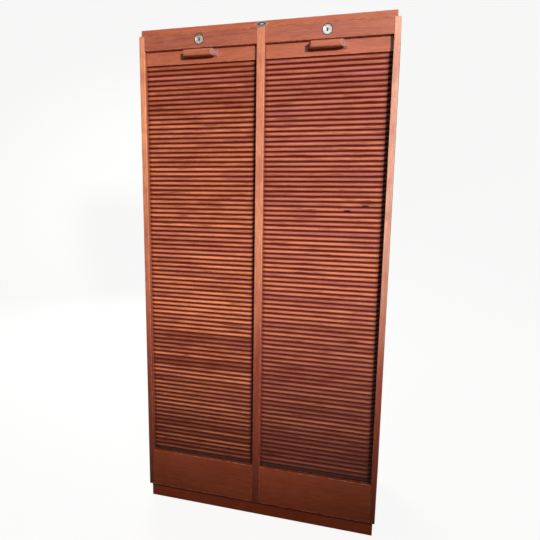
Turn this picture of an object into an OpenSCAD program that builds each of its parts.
// Tall filing cabinet with two roller shutters (tambours) side by side.
// Millimetres. X runs from left to right, the front faces -Y, Z is up.
// The origin is at the centre of the floor space that the cabinet covers, handles included.
// Depths are counted backwards from the front edges of the side panels.

/* [Cabinet] */
// Width over the two side panels
cabinet_w = 1000; // [800:5:1300]
// Depth of the side panels, front edge to back edge
cabinet_d = 420; // [345:5:560]
// Height of the side panels, without the plinth and the top board
side_h = 1910; // [1500:5:2300]
// Height of the plinth
plinth_h = 60; // [50:1:120]

/* [Boards] */
// Thickness of a side panel
side_t = 22; // [18:0.5:30]
// Thickness of the centre partition
partition_t = 30; // [24:0.5:40]
// Thickness of the top board
top_t = 22; // [18:0.5:30]
// How far the top board stops short of each side panel's outer face
top_inset = 12; // [4:1:14]
// Thickness of the plinth boards
plinth_t = 18; // [14:1:25]
// How far the plinth stands back from the front and back edges
plinth_recess = 10; // [4:1:40]
// How far the plinth stands in from the side panels' outer faces
plinth_inset = 9; // [4:1:40]
// Rounding of the long front edges
edge_r = 1.5; // [0.5:0.5:3]

/* [Fixed front boards] */
// Thickness of the lock rails and of the bottom panels
front_t = 16; // [12:0.5:22]
// How far the lock rails and bottom panels stand back from the front edges
front_recess = 1; // [0.5:0.5:4]
// Height of a lock rail
lock_rail_h = 55; // [45:1:80]
// Height of a bottom panel
bottom_panel_h = 166; // [140:1:260]

/* [Tracks] */
// Width of the groove that guides a shutter
track_w = 10; // [8:0.5:14]
// Depth of the groove in a side panel or in the partition
track_cut = 9; // [6:0.5:10]
// Radius of the track's bends, to the middle of the groove
track_bend_r = 80; // [60:1:95]
// Height of the track's bottom run above the plinth, to the middle of the groove
track_low_rise = 17; // [10:1:25]

/* [Shutters] */
// Height of one slat with its gap
slat_pitch = 18.7; // [14:0.1:24]
// Gap between two slats
slat_gap = 0.4; // [0.2:0.1:1]
// How far the rounded front of a slat stands out from its edges
slat_crown = 4.5; // [2:0.5:5.5]
// Play of a slat in its groove, front and back
slat_play = 0.5; // [0.3:0.1:1]
// Play at each end of a slat
slat_end_play = 1.5; // [0.5:0.5:3]
// Slats directly under the shutter's top rail
lead_slats = 8; // [5:1:8]
// Sections that the rest of a shutter is divided into
sections = 7; // [5:1:7]
// Thickness of the canvas behind the slats
canvas_t = 1; // [0.5:0.1:1.5]
// Layer of glue between the canvas and the slats
glue_t = 0.2; // [0.1:0.1:0.4]
// Height of a shutter's top rail
shutter_rail_h = 66; // [55:1:90]
// Thickness of a shutter's top rail
shutter_rail_t = 14; // [12:0.5:18]
// How far a shutter's top rail reaches up behind the lock rail
shutter_lap = 14; // [8:1:16]
// Gap between a shutter's top rail and the boards round it
shutter_clear = 1.5; // [1:0.5:4]

/* [Handles] */
// Length of a handle where it meets the shutter
handle_back_w = 146; // [110:1:200]
// Length of a handle along its front edge
handle_front_w = 112; // [80:1:190]
// How far a handle stands out from the shutter's top rail
handle_out = 38; // [30:1:50]
// Height of a handle
handle_h = 24; // [20:1:30]
// Height of a handle's middle above the bottom of the shutter's top rail
handle_rise = 31; // [26:1:40]
// Radius of the hollows above and below a handle's neck
handle_cove_r = 7; // [5:0.5:8]

/* [Locks] */
// Height of a lock's middle above the top of the closed shutter
lock_rise = 17; // [16.5:0.5:22]
// Outer radius of the lock's ring
ring_r = 17; // [15:0.5:20]
// Radius of the turning plug
plug_r = 8; // [6.5:0.5:9]
// Thickness of the bolt
bolt_t = 3.6; // [2:0.2:4]
// How far the bolt drops
bolt_throw = 10; // [8:0.5:11]

/* [Inside] */
// Shelves in each half
shelf_count = 3; // [1:1:3]
// Thickness of a shelf
shelf_t = 16; // [12:1:22]
// Thickness of the deck above the shutter's way round
deck_t = 18; // [14:1:22]
// Thickness of the false back in front of the stored shutter
false_back_t = 6; // [4:1:10]
// Thickness of the outer back panel
back_t = 8; // [6:1:12]
// Room behind the closed shutter, in front of the shelves
shelf_clear = 12; // [8:1:30]
// Room in front of and behind the rear track
rear_clear = 8; // [5:1:12]
// Radius of a shelf pin
pin_r = 2.5; // [2:0.5:4]
// Depth of a shelf pin's hole, and how far the pin stands out
pin_len = 9; // [6:1:10]

/* [Badge] */
// Width of the badge
badge_w = 49; // [30:1:70]
// Height of the badge
badge_h = 17; // [10:1:17.5]
// How far the badge sits to the right of the middle
badge_shift = 3; // [-10:1:10]

/* [Hidden] */
$fn = 64;
SIDES = ["left", "right"];
function direction(side) = side == "left" ? -1 : 1;

// Small sizes that standard hardware and joinery set.
eps = 0.01;
fit = 0.2;
running_fit = 0.08;
dowel_r = 3;
dowel_len = 30;
screw_r = 2;
screw_head_r = 4;
back_screw_len = 13;
lock_screw_r = 1.75;
badge_t = 1.5;
badge_rim = 1.2;

// Heights
carcass_z = plinth_h;
carcass_top = carcass_z + side_h;
panel_top = carcass_z + bottom_panel_h;
lock_rail_z = carcass_top - lock_rail_h;
shutter_top = lock_rail_z + shutter_lap;
shutter_rail_z = shutter_top - shutter_rail_h;
handle_z = shutter_rail_z + handle_rise;
lock_z = shutter_top + lock_rise;

// Widths
inner_x = cabinet_w / 2 - side_t;
partition_x = partition_t / 2;
bay_w = inner_x - partition_x;
bay_x = (inner_x + partition_x) / 2;

// Depths behind the front edges
front_back = front_recess + front_t;
track_d = front_back + shutter_clear + shutter_rail_t / 2;
shutter_face = track_d - shutter_rail_t / 2;
slat_t = track_w - 2 * slat_play;
inside_d = track_d + shutter_rail_t / 2 + shelf_clear;
back_d = cabinet_d - back_t;
rear_track_d = back_d - rear_clear - track_w / 2;
false_back_d = rear_track_d - track_w / 2 - rear_clear - false_back_t;

// The handles stand out in front, so the side panels' front edges lie behind the model's front.
handle_proud = handle_out - shutter_face;
front_y = handle_proud - (cabinet_d + handle_proud) / 2;

// Shutter
slat_h = slat_pitch - slat_gap;
slat_arc_r = (slat_h * slat_h / 4 + slat_crown * slat_crown) / (2 * slat_crown);
slat_len = bay_w + 2 * (track_cut - slat_end_play);
slat_total = ceil((shutter_rail_z - panel_top) / slat_pitch);
section_slats = slat_total - lead_slats;
canvas_w = bay_w - 2 * slat_end_play;
function section_start(i) = lead_slats + floor(section_slats * (i - 1) / sections);

// Lock
lock_wall = 2.4;
cam_t = 2.4;
cam_r = plug_r + 2;
cam_pin_r = 1.5;
cam_pin_at = bolt_throw / 2;
cam_pin_reach = norm([cam_pin_at, cam_pin_at]);
barrel_r = plug_r + 4;
ring_t = 2.3;
ring_notch = 2.5;
ring_lip = 2.1;
ring_web_t = 1.15;
ring_chamfer = 0.5;
ring_back = front_recess + ring_t + 0.2;
ring_hole_r = ring_r + 2.3;
plug_face = ring_back + 1;
bolt_d = track_d - bolt_t / 2;
bolt_cavity_d = bolt_d - fit;
cam_d = bolt_cavity_d - fit - cam_t;
case_z = shutter_top + 2;
case_floor = 2;
bolt_foot_z = case_z + 0.5;
bolt_body_z = case_z + case_floor + bolt_throw + 0.5;
bolt_body_top = lock_z + cam_pin_at + cam_pin_r + 4.5;
bolt_body_w = 24;
bolt_tongue_w = 16;
case_top = bolt_body_top + 1 + lock_wall;
case_w = 44;
flange_w = 62;
flange_t = 2;
flange_screw_x = (flange_w + case_w) / 4;
flange_screw_z = 8;
flange_screw_len = 12;

// Strike on the shutter's top rail
strike_w = 46;
strike_d = 10;
strike_t = 1.5;
mortise_play = 0.6;

// Handle
handle_foot = 7;
handle_neck = 11;
handle_nose_r = 5;
handle_screw_x = 35;
handle_screw_in = 22;

// Shelves and screws
bay_h = carcass_top - panel_top;
shelf_gap = (bay_h - shelf_count * shelf_t) / (shelf_count + 1);
shelf_play = 1;
shelf_pin_rows = [inside_d + 35, false_back_d - 45];
rebate_w = side_t - top_inset;
seam_x = inner_x + rebate_w / 2;
dowel_rows = [track_d + 45, (track_d + rear_track_d) / 2, rear_track_d - 45];
back_screw_rows = [0.03, 0.27, 0.5, 0.73, 0.97];
back_screw_xs = [-seam_x, 0, seam_x];

// Colours
oak = [0.70, 0.40, 0.23];
oak_dark = [0.55, 0.30, 0.19];
slat_oak = [0.64, 0.33, 0.18];
ply = [0.72, 0.55, 0.38];
nickel = [0.83, 0.82, 0.80];
steel = [0.60, 0.60, 0.62];

NODES = concat(
    ["side_left", "side_right", "centre_partition", "top_board", "top_rail_left", "top_rail_right"],
    ["bottom_panel_left", "bottom_panel_right"],
    ["plinth_front", "plinth_back", "plinth_left", "plinth_right"],
    ["deck_left", "deck_right", "false_back_left", "false_back_right", "back_panel"],
    [for (side = SIDES) for (i = [1 : shelf_count]) str(side, "_shelf_", i)],
    ["shelf_pins", "back_screws", "carcass_dowels", "badge", "lock_screws"],
    [for (side = SIDES) for (piece = ["ring", "case", "plug", "bolt"]) str(side, "_lock_", piece)],
    [for (side = SIDES) for (piece = ["shutter_rail", "handle", "handle_screws", "strike", "lead_slats"])
        str(side, "_", piece)],
    [for (side = SIDES) for (i = [1 : sections]) str(side, "_slats_", i)]
);
node = "all";

function wanted(name) = node == "all" || node == name;

// ---- Helpers ----

// Moves a shape drawn with Y as depth behind the front edges into place.
module from_front() {
    translate([0, front_y, 0]) children();
}

// Extrudes a (depth, height) outline along X, centred on x.
module along_x(x, length) {
    translate([x - length / 2, 0, 0])
        rotate([90, 0, 90])
            linear_extrude(length) children();
}

// A cylinder that runs backwards from a depth.
module rod(x, depth, z, r, length) {
    translate([x, depth, z])
        rotate([-90, 0, 0])
            cylinder(r = r, h = length);
}

// A board's section, centred on X, with both front corners rounded.
module front_rounded(w, d, r) {
    translate([-w / 2, r]) square([w, d - r]);
    translate([r - w / 2, 0]) square([w - 2 * r, 2 * r]);
    for (x = [r - w / 2, w / 2 - r])
        translate([x, r]) circle(r);
}

// A (depth, height) section from depth 0, height 0, with the front edge rounded at the top,
// at the bottom or at both.
module edge_section(d, h, r, low, high) {
    translate([r, 0]) square([d - r, h]);
    translate([0, low ? r : 0]) square([2 * r, h - (low ? r : 0) - (high ? r : 0)]);
    if (low) translate([r, r]) circle(r);
    if (high) translate([r, h - r]) circle(r);
}

// ---- Track ----

// One quarter of a ring, in the quadrant that the signs of sx and sz give.
module quarter_ring(r, w, sx, sz) {
    intersection() {
        difference() {
            circle(r + w / 2);
            circle(r - w / 2);
        }
        translate([sx < 0 ? -2 * r : 0, sz < 0 ? -2 * r : 0]) square(2 * r);
    }
}

// The groove's path as (depth, height): down the front, round under the deck and up the back.
// The front run goes on down to the plinth, where the shutter is fed in.
module track_path() {
    low_z = carcass_z + track_low_rise;
    bend_z = low_z + track_bend_r;
    front_d = track_d - track_w / 2;
    rear_d = rear_track_d - track_w / 2;
    translate([front_d, bend_z]) square([track_w, shutter_top + slat_play - bend_z]);
    translate([front_d, carcass_z - 1]) square([track_w, bend_z - carcass_z + 1]);
    translate([track_d + track_bend_r, bend_z]) quarter_ring(track_bend_r, track_w, -1, -1);
    translate([track_d + track_bend_r, low_z - track_w / 2])
        square([rear_track_d - track_d - 2 * track_bend_r, track_w]);
    translate([rear_track_d - track_bend_r, bend_z]) quarter_ring(track_bend_r, track_w, 1, -1);
    translate([rear_d, bend_z]) square([track_w, lock_rail_z - bend_z]);
}

// ---- Carcass ----

module pin_holes(x, dir) {
    for (i = [1 : shelf_count])
        for (depth = shelf_pin_rows)
            translate([x, depth, shelf_z(i) - pin_r])
                rotate([0, 90 * dir, 0])
                    cylinder(r = pin_r + fit, h = pin_len + fit);
}

module dowel_holes(x, z) {
    for (depth = dowel_rows)
        translate([x, depth, z - dowel_len / 2 - fit])
            cylinder(r = dowel_r + fit / 2, h = dowel_len + 2 * fit);
}

module back_screw_holes() {
    for (x = back_screw_xs)
        for (row = back_screw_rows)
            rod(x, cabinet_d - back_screw_len - fit, carcass_z + row * side_h, screw_r + fit, back_screw_len);
}

// The left side panel; the right one is its mirror image.
module side_panel() {
    color(oak)
        from_front()
            difference() {
                translate([side_t / 2 - cabinet_w / 2, 0, carcass_z])
                    linear_extrude(side_h) front_rounded(side_t, cabinet_d, edge_r);
                along_x(track_cut / 2 - inner_x - track_cut, track_cut + eps) track_path();
                translate([-inner_x - rebate_w, back_d, carcass_z - eps])
                    cube([rebate_w + eps, back_t + eps, side_h + 2 * eps]);
                pin_holes(-inner_x, -1);
                dowel_holes(-seam_x, carcass_top);
                back_screw_holes();
            }
}

module side_left() {
    side_panel();
}

module side_right() {
    mirror([1, 0, 0]) side_panel();
}

module centre_partition() {
    color(oak)
        from_front()
            difference() {
                translate([0, 0, carcass_z])
                    linear_extrude(side_h) front_rounded(partition_t, back_d, edge_r);
                for (dir = [-1, 1]) {
                    along_x(dir * (partition_x - track_cut / 2), track_cut + eps) track_path();
                    pin_holes(dir * partition_x, -dir);
                }
                dowel_holes(0, carcass_top);
                back_screw_holes();
            }
}

module top_board() {
    color(oak)
        from_front()
            difference() {
                translate([0, 0, carcass_top])
                    along_x(0, cabinet_w - 2 * top_inset) edge_section(cabinet_d, top_t, edge_r, true, true);
                for (x = [-seam_x, 0, seam_x])
                    dowel_holes(x, carcass_top);
                badge_pins(fit);
            }
}

// A lock rail with the lock's hole and the recess for its ring.
module top_rail(side) {
    x = direction(side) * bay_x;
    color(oak_dark)
        from_front()
            difference() {
                translate([0, front_recess, lock_rail_z])
                    along_x(x, bay_w) edge_section(front_t, lock_rail_h, edge_r, true, false);
                rod(x, front_recess - eps, lock_z, ring_hole_r, ring_back - front_recess + eps);
                rod(x, front_recess, lock_z, barrel_r + 2 * fit, front_t + eps);
                flange_screws(x, lock_screw_r + fit / 2, front_t);
            }
}

module bottom_panel(side) {
    color(oak_dark)
        from_front()
            translate([0, front_recess, carcass_z])
                along_x(direction(side) * bay_x, bay_w)
                    edge_section(front_t, bottom_panel_h, edge_r, false, true);
}

module plinth_board(depth) {
    w = cabinet_w - 2 * plinth_inset;
    color(oak_dark)
        from_front()
            translate([-w / 2, depth, 0])
                cube([w, plinth_t, plinth_h]);
}

module plinth_front() {
    plinth_board(plinth_recess);
}

module plinth_back() {
    plinth_board(cabinet_d - plinth_recess - plinth_t);
}

module plinth_side(dir) {
    depth = plinth_recess + plinth_t;
    outer_x = cabinet_w / 2 - plinth_inset;
    color(oak_dark)
        from_front()
            translate([dir < 0 ? -outer_x : outer_x - plinth_t, depth, 0])
                cube([plinth_t, cabinet_d - 2 * depth, plinth_h]);
}

// ---- Inside ----

// Underside of a shelf, counted from the bottom.
function shelf_z(i) = panel_top + i * shelf_gap + (i - 1) * shelf_t;

module deck(side) {
    color(oak)
        from_front()
            translate([direction(side) * bay_x - bay_w / 2, inside_d, panel_top - deck_t])
                cube([bay_w, false_back_d + false_back_t - inside_d, deck_t]);
}

module false_back(side) {
    color(ply)
        from_front()
            translate([direction(side) * bay_x - bay_w / 2, false_back_d, panel_top])
                cube([bay_w, false_back_t, bay_h]);
}

module shelf(side, i) {
    depth = false_back_d - shelf_play - inside_d;
    color(oak)
        from_front()
            translate([0, inside_d, shelf_z(i)])
                along_x(direction(side) * bay_x, bay_w - 2 * shelf_play)
                    edge_section(depth, shelf_t, edge_r, true, true);
}

module shelf_pins() {
    color(steel)
        from_front()
            for (side = SIDES)
                for (end = [-1, 1])
                    for (i = [1 : shelf_count])
                        for (depth = shelf_pin_rows)
                            translate([direction(side) * bay_x + end * bay_w / 2, depth, shelf_z(i) - pin_r])
                                rotate([0, 90, 0])
                                    cylinder(r = pin_r, h = 2 * pin_len, center = true);
}

module back_panel() {
    w = 2 * (inner_x + rebate_w - fit);
    color(ply)
        from_front()
            difference() {
                translate([-w / 2, back_d, carcass_z]) cube([w, back_t, side_h]);
                back_screw_holes();
                for (x = back_screw_xs)
                    for (row = back_screw_rows)
                        translate([x, cabinet_d + eps, carcass_z + row * side_h])
                            rotate([90, 0, 0])
                                countersink();
            }
}

module back_screws() {
    color(steel)
        from_front()
            for (x = back_screw_xs)
                for (row = back_screw_rows)
                    translate([x, cabinet_d - fit, carcass_z + row * side_h])
                        rotate([90, 0, 0])
                            slotted_screw(screw_r, screw_head_r, back_screw_len - 2 * fit);
}

// A countersunk wood screw with a slotted head at z = 0, pointing up.
module slotted_screw(r, head_r, length) {
    slot = r / 2;
    difference() {
        union() {
            cylinder(r1 = head_r, r2 = r, h = head_r - r);
            cylinder(r = r, h = length);
        }
        translate([-head_r, -slot / 2, -eps]) cube([2 * head_r, slot, slot + eps]);
    }
}

// The room for a countersunk head, at z = 0, pointing up.
module countersink() {
    cylinder(r1 = screw_head_r + 2 * fit, r2 = screw_r, h = screw_head_r - screw_r + 2 * fit);
}

module carcass_dowels() {
    color(ply)
        from_front()
            for (x = [-seam_x, 0, seam_x])
                for (depth = dowel_rows)
                    translate([x, depth, carcass_top - dowel_len / 2])
                        cylinder(r = dowel_r, h = dowel_len);
}

// ---- Badge ----

// An eye-shaped outline made of two arcs.
module eye(w, h) {
    r = (w * w + h * h) / (4 * h);
    intersection() {
        translate([0, r - h / 2]) circle(r, $fn = 128);
        translate([0, h / 2 - r]) circle(r, $fn = 128);
    }
}

module badge_pins(play) {
    for (end = [-1, 1])
        rod(badge_shift + end * badge_w / 4, 0, carcass_top + top_t / 2, 0.8 + play, 6 + play);
}

module badge() {
    color(nickel)
        from_front() {
            translate([badge_shift, 0, carcass_top + top_t / 2])
                rotate([90, 0, 0])
                    difference() {
                        linear_extrude(badge_t) eye(badge_w, badge_h);
                        translate([0, 0, badge_t / 2])
                            linear_extrude(badge_t) eye(badge_w - 5 * badge_rim, badge_h - 2 * badge_rim);
                    }
            badge_pins(0);
        }
}

// ---- Locks ----

// The four screws' shafts through a lock's flange, as holes or as screws.
module flange_screws(x, r, length) {
    for (dx = [-flange_screw_x, flange_screw_x])
        for (dz = [-flange_screw_z, flange_screw_z])
            rod(x + dx, front_back + flange_t - length, (case_z + case_top) / 2 + dz, r, length);
}

module lock_screws() {
    color(steel)
        from_front()
            for (side = SIDES) {
                x = direction(side) * bay_x;
                for (dx = [-flange_screw_x, flange_screw_x])
                    for (dz = [-flange_screw_z, flange_screw_z])
                        translate([x + dx, front_back + flange_t, (case_z + case_top) / 2 + dz])
                            rotate([90, 0, 0])
                                translate([0, 0, -lock_screw_r])
                                    pan_screw(lock_screw_r, flange_screw_len);
            }
}

// A pan-head screw, head first along +Z, with its slot in the face at z = 0.
module pan_screw(r, length) {
    slot = r / 2;
    difference() {
        union() {
            cylinder(r = 2 * r, h = r);
            cylinder(r = r, h = length);
        }
        translate([-2 * r, -slot / 2, -eps]) cube([4 * r, slot, slot + eps]);
    }
}

// The visible ring: dished, with a notch on each side for a pin spanner.
module lock_ring(side) {
    x = direction(side) * bay_x;
    color(nickel)
        from_front()
            translate([x, ring_back, lock_z])
                rotate([90, 0, 0])
                    difference() {
                        rotate_extrude() ring_section();
                        for (end = [-1, 1])
                            translate([end * ring_r - ring_notch / 2, -ring_notch / 2, -eps])
                                cube([ring_notch, ring_notch, ring_t + 1]);
                    }
}

// Half the ring's section: a flat rim that falls away towards the plug.
module ring_section() {
    polygon([
        [plug_r + fit, 0],
        [ring_r, 0],
        [ring_r, ring_t - ring_chamfer],
        [ring_r - ring_chamfer, ring_t],
        [ring_r - ring_lip, ring_t],
        [ring_r - 2 * ring_lip, ring_web_t + ring_chamfer / 2],
        [plug_r + fit, ring_web_t]
    ]);
}

module lock_case(side) {
    x = direction(side) * bay_x;
    cavity_top = bolt_body_top + 1;
    cavity_t = bolt_t + 2 * fit;
    case_back = bolt_cavity_d + cavity_t + lock_wall;
    body_w = bolt_body_w + 2 * fit;
    tongue_w = bolt_tongue_w + 2 * fit;
    color(steel)
        from_front()
            difference() {
                union() {
                    translate([x - case_w / 2, front_back, case_z])
                        cube([case_w, case_back - front_back, case_top - case_z]);
                    translate([x - flange_w / 2, front_back, case_z])
                        cube([flange_w, flange_t, case_top - case_z]);
                    rod(x, ring_back, lock_z, barrel_r, front_back - ring_back + eps);
                }
                rod(x, ring_back - eps, lock_z, plug_r + running_fit, case_back - ring_back - lock_wall);
                rod(x, cam_d - fit, lock_z, cam_r + fit, cam_t + 2 * fit + eps);
                translate([x - body_w / 2, bolt_cavity_d, case_z + case_floor])
                    cube([body_w, cavity_t, cavity_top - case_z - case_floor]);
                translate([x - tongue_w / 2, bolt_cavity_d, case_z - eps])
                    cube([tongue_w, cavity_t, case_floor + 2 * eps]);
                flange_screws(x, lock_screw_r + fit / 2, front_t);
            }
}

// The plug turns a quarter turn; the pin on its cam moves the bolt.
module lock_plug(side) {
    keyhole_depth = 6;
    color(nickel)
        from_front()
            translate([direction(side) * bay_x, plug_face, lock_z])
                rotate([-90, 0, 0])
                    difference() {
                        union() {
                            cylinder(r = plug_r, h = cam_d - plug_face + eps);
                            translate([0, 0, cam_d - plug_face]) cylinder(r = cam_r, h = cam_t);
                            translate([cam_pin_at, -cam_pin_at, cam_d - plug_face])
                                cylinder(r = cam_pin_r, h = bolt_d + bolt_t - cam_d);
                        }
                        translate([0, 0, -eps]) linear_extrude(keyhole_depth) keyhole();
                    }
}

// A round eye with a slot below it; Y points down here.
module keyhole() {
    translate([0, -2.2]) circle(2.4);
    translate([-1.2, -2.2]) square([2.4, 8]);
}

module lock_bolt(side) {
    slot_w = cam_pin_reach - cam_pin_at + 2 * (cam_pin_r + 0.5);
    slot_h = 2 * (cam_pin_r + 0.5);
    color(steel)
        from_front()
            translate([direction(side) * bay_x, bolt_d, 0])
                difference() {
                    union() {
                        translate([-bolt_body_w / 2, 0, bolt_body_z])
                            cube([bolt_body_w, bolt_t, bolt_body_top - bolt_body_z]);
                        translate([-bolt_tongue_w / 2, 0, bolt_foot_z])
                            cube([bolt_tongue_w, bolt_t, bolt_body_z - bolt_foot_z + eps]);
                    }
                    translate([cam_pin_at - cam_pin_r - 0.5, -eps, lock_z + cam_pin_at - slot_h / 2])
                        cube([slot_w, bolt_t + 2 * eps, slot_h]);
                }
}

// ---- Shutters ----

// The top rail: its ends are thinned to tongues that run in the grooves.
module shutter_rail(side) {
    x = direction(side) * bay_x;
    tongue_w = bolt_tongue_w + 2 * mortise_play;
    color(oak)
        from_front()
            difference() {
                union() {
                    translate([0, shutter_face, shutter_rail_z])
                        along_x(x, canvas_w) edge_section(shutter_rail_t, shutter_rail_h, edge_r, true, true);
                    translate([x - slat_len / 2, track_d - slat_t / 2, shutter_rail_z])
                        cube([slat_len, slat_t, shutter_rail_h]);
                }
                translate([x - strike_w / 2 - fit, track_d - strike_d / 2 - fit, shutter_top - strike_t])
                    cube([strike_w + 2 * fit, strike_d + 2 * fit, strike_t + eps]);
                translate([x - tongue_w / 2, bolt_d - mortise_play, shutter_top - bolt_throw])
                    cube([tongue_w, bolt_t + 2 * mortise_play, bolt_throw + eps]);
                handle_screw_holes(x);
            }
}

module strike(side) {
    x = direction(side) * bay_x;
    tongue_w = bolt_tongue_w + 2 * mortise_play;
    color(steel)
        from_front()
            difference() {
                translate([x - strike_w / 2, track_d - strike_d / 2, shutter_top - strike_t])
                    cube([strike_w, strike_d, strike_t]);
                translate([x - tongue_w / 2, bolt_d - mortise_play, shutter_top - strike_t - eps])
                    cube([tongue_w, bolt_t + 2 * mortise_play, strike_t + 2 * eps]);
            }
}

// The handle's section as (depth, height): a nose with rounded corners, a neck between two hollows and a flared foot.
module handle_section() {
    cove_d = handle_out - handle_foot - handle_neck / 2 + 1;
    difference() {
        translate([0, -handle_h / 2]) edge_section(handle_out, handle_h, handle_nose_r, true, true);
        for (end = [-1, 1])
            translate([cove_d, end * (handle_h / 2 + handle_cove_r - handle_neck / 2)])
                circle(handle_cove_r);
    }
}

// In plan the handle is a trapezium, wider where it meets the shutter.
module handle(side) {
    x = direction(side) * bay_x;
    color(oak)
        from_front()
            difference() {
                intersection() {
                    translate([0, shutter_face - handle_out, handle_z])
                        along_x(x, handle_back_w) handle_section();
                    translate([x, shutter_face, handle_z - handle_h])
                        linear_extrude(2 * handle_h)
                            handle_plan();
                }
                handle_screw_holes(x);
            }
}

module handle_plan() {
    polygon([
        [-handle_back_w / 2, eps],
        [handle_back_w / 2, eps],
        [handle_front_w / 2, -handle_out - eps],
        [-handle_front_w / 2, -handle_out - eps]
    ]);
}

module handle_screw_holes(x) {
    length = shutter_rail_t + handle_screw_in;
    for (dx = [-handle_screw_x, handle_screw_x])
        translate([x + dx, shutter_face + shutter_rail_t + eps, handle_z])
            rotate([90, 0, 0]) {
                cylinder(r = screw_r + fit, h = length + fit);
                countersink();
            }
}

module handle_screws(side) {
    color(steel)
        from_front()
            for (dx = [-handle_screw_x, handle_screw_x])
                translate([direction(side) * bay_x + dx, shutter_face + shutter_rail_t - fit, handle_z])
                    rotate([90, 0, 0])
                        slotted_screw(screw_r, screw_head_r, shutter_rail_t + handle_screw_in - 2 * fit);
}

// A slat's section: flat at the back, rounded at the front.
module slat_section() {
    intersection() {
        square([slat_t, slat_h]);
        translate([slat_arc_r, slat_h / 2]) circle(slat_arc_r, $fn = 96);
    }
}

// Slats first to last - 1, counted from the top, on their canvas.
module slat_run(side, first, last) {
    x = direction(side) * bay_x;
    bottom = shutter_rail_z - last * slat_pitch;
    color(slat_oak)
        from_front() {
            for (i = [first : last - 1])
                translate([0, track_d - slat_t / 2, shutter_rail_z - (i + 1) * slat_pitch])
                    along_x(x, slat_len) slat_section();
            translate([x - canvas_w / 2, track_d + slat_t / 2 + glue_t, bottom])
                cube([canvas_w, canvas_t, (last - first) * slat_pitch - slat_gap]);
        }
}

module lead_run(side) {
    slat_run(side, 0, lead_slats);
}

module slat_section_run(side, i) {
    slat_run(side, section_start(i), section_start(i + 1));
}

// ---- Nodes ----

if (wanted("side_left")) side_left();
if (wanted("side_right")) side_right();
if (wanted("centre_partition")) centre_partition();
if (wanted("top_board")) top_board();
if (wanted("plinth_front")) plinth_front();
if (wanted("plinth_back")) plinth_back();
if (wanted("plinth_left")) plinth_side(-1);
if (wanted("plinth_right")) plinth_side(1);
if (wanted("back_panel")) back_panel();
if (wanted("shelf_pins")) shelf_pins();
if (wanted("back_screws")) back_screws();
if (wanted("carcass_dowels")) carcass_dowels();
if (wanted("badge")) badge();
if (wanted("lock_screws")) lock_screws();

for (side = SIDES) {
    if (wanted(str("top_rail_", side))) top_rail(side);
    if (wanted(str("bottom_panel_", side))) bottom_panel(side);
    if (wanted(str("deck_", side))) deck(side);
    if (wanted(str("false_back_", side))) false_back(side);
    if (wanted(str(side, "_lock_ring"))) lock_ring(side);
    if (wanted(str(side, "_lock_case"))) lock_case(side);
    if (wanted(str(side, "_lock_plug"))) lock_plug(side);
    if (wanted(str(side, "_lock_bolt"))) lock_bolt(side);
    if (wanted(str(side, "_shutter_rail"))) shutter_rail(side);
    if (wanted(str(side, "_handle"))) handle(side);
    if (wanted(str(side, "_handle_screws"))) handle_screws(side);
    if (wanted(str(side, "_strike"))) strike(side);
    if (wanted(str(side, "_lead_slats"))) lead_run(side);
    for (i = [1 : shelf_count])
        if (wanted(str(side, "_shelf_", i))) shelf(side, i);
    for (i = [1 : sections])
        if (wanted(str(side, "_slats_", i))) slat_section_run(side, i);
}
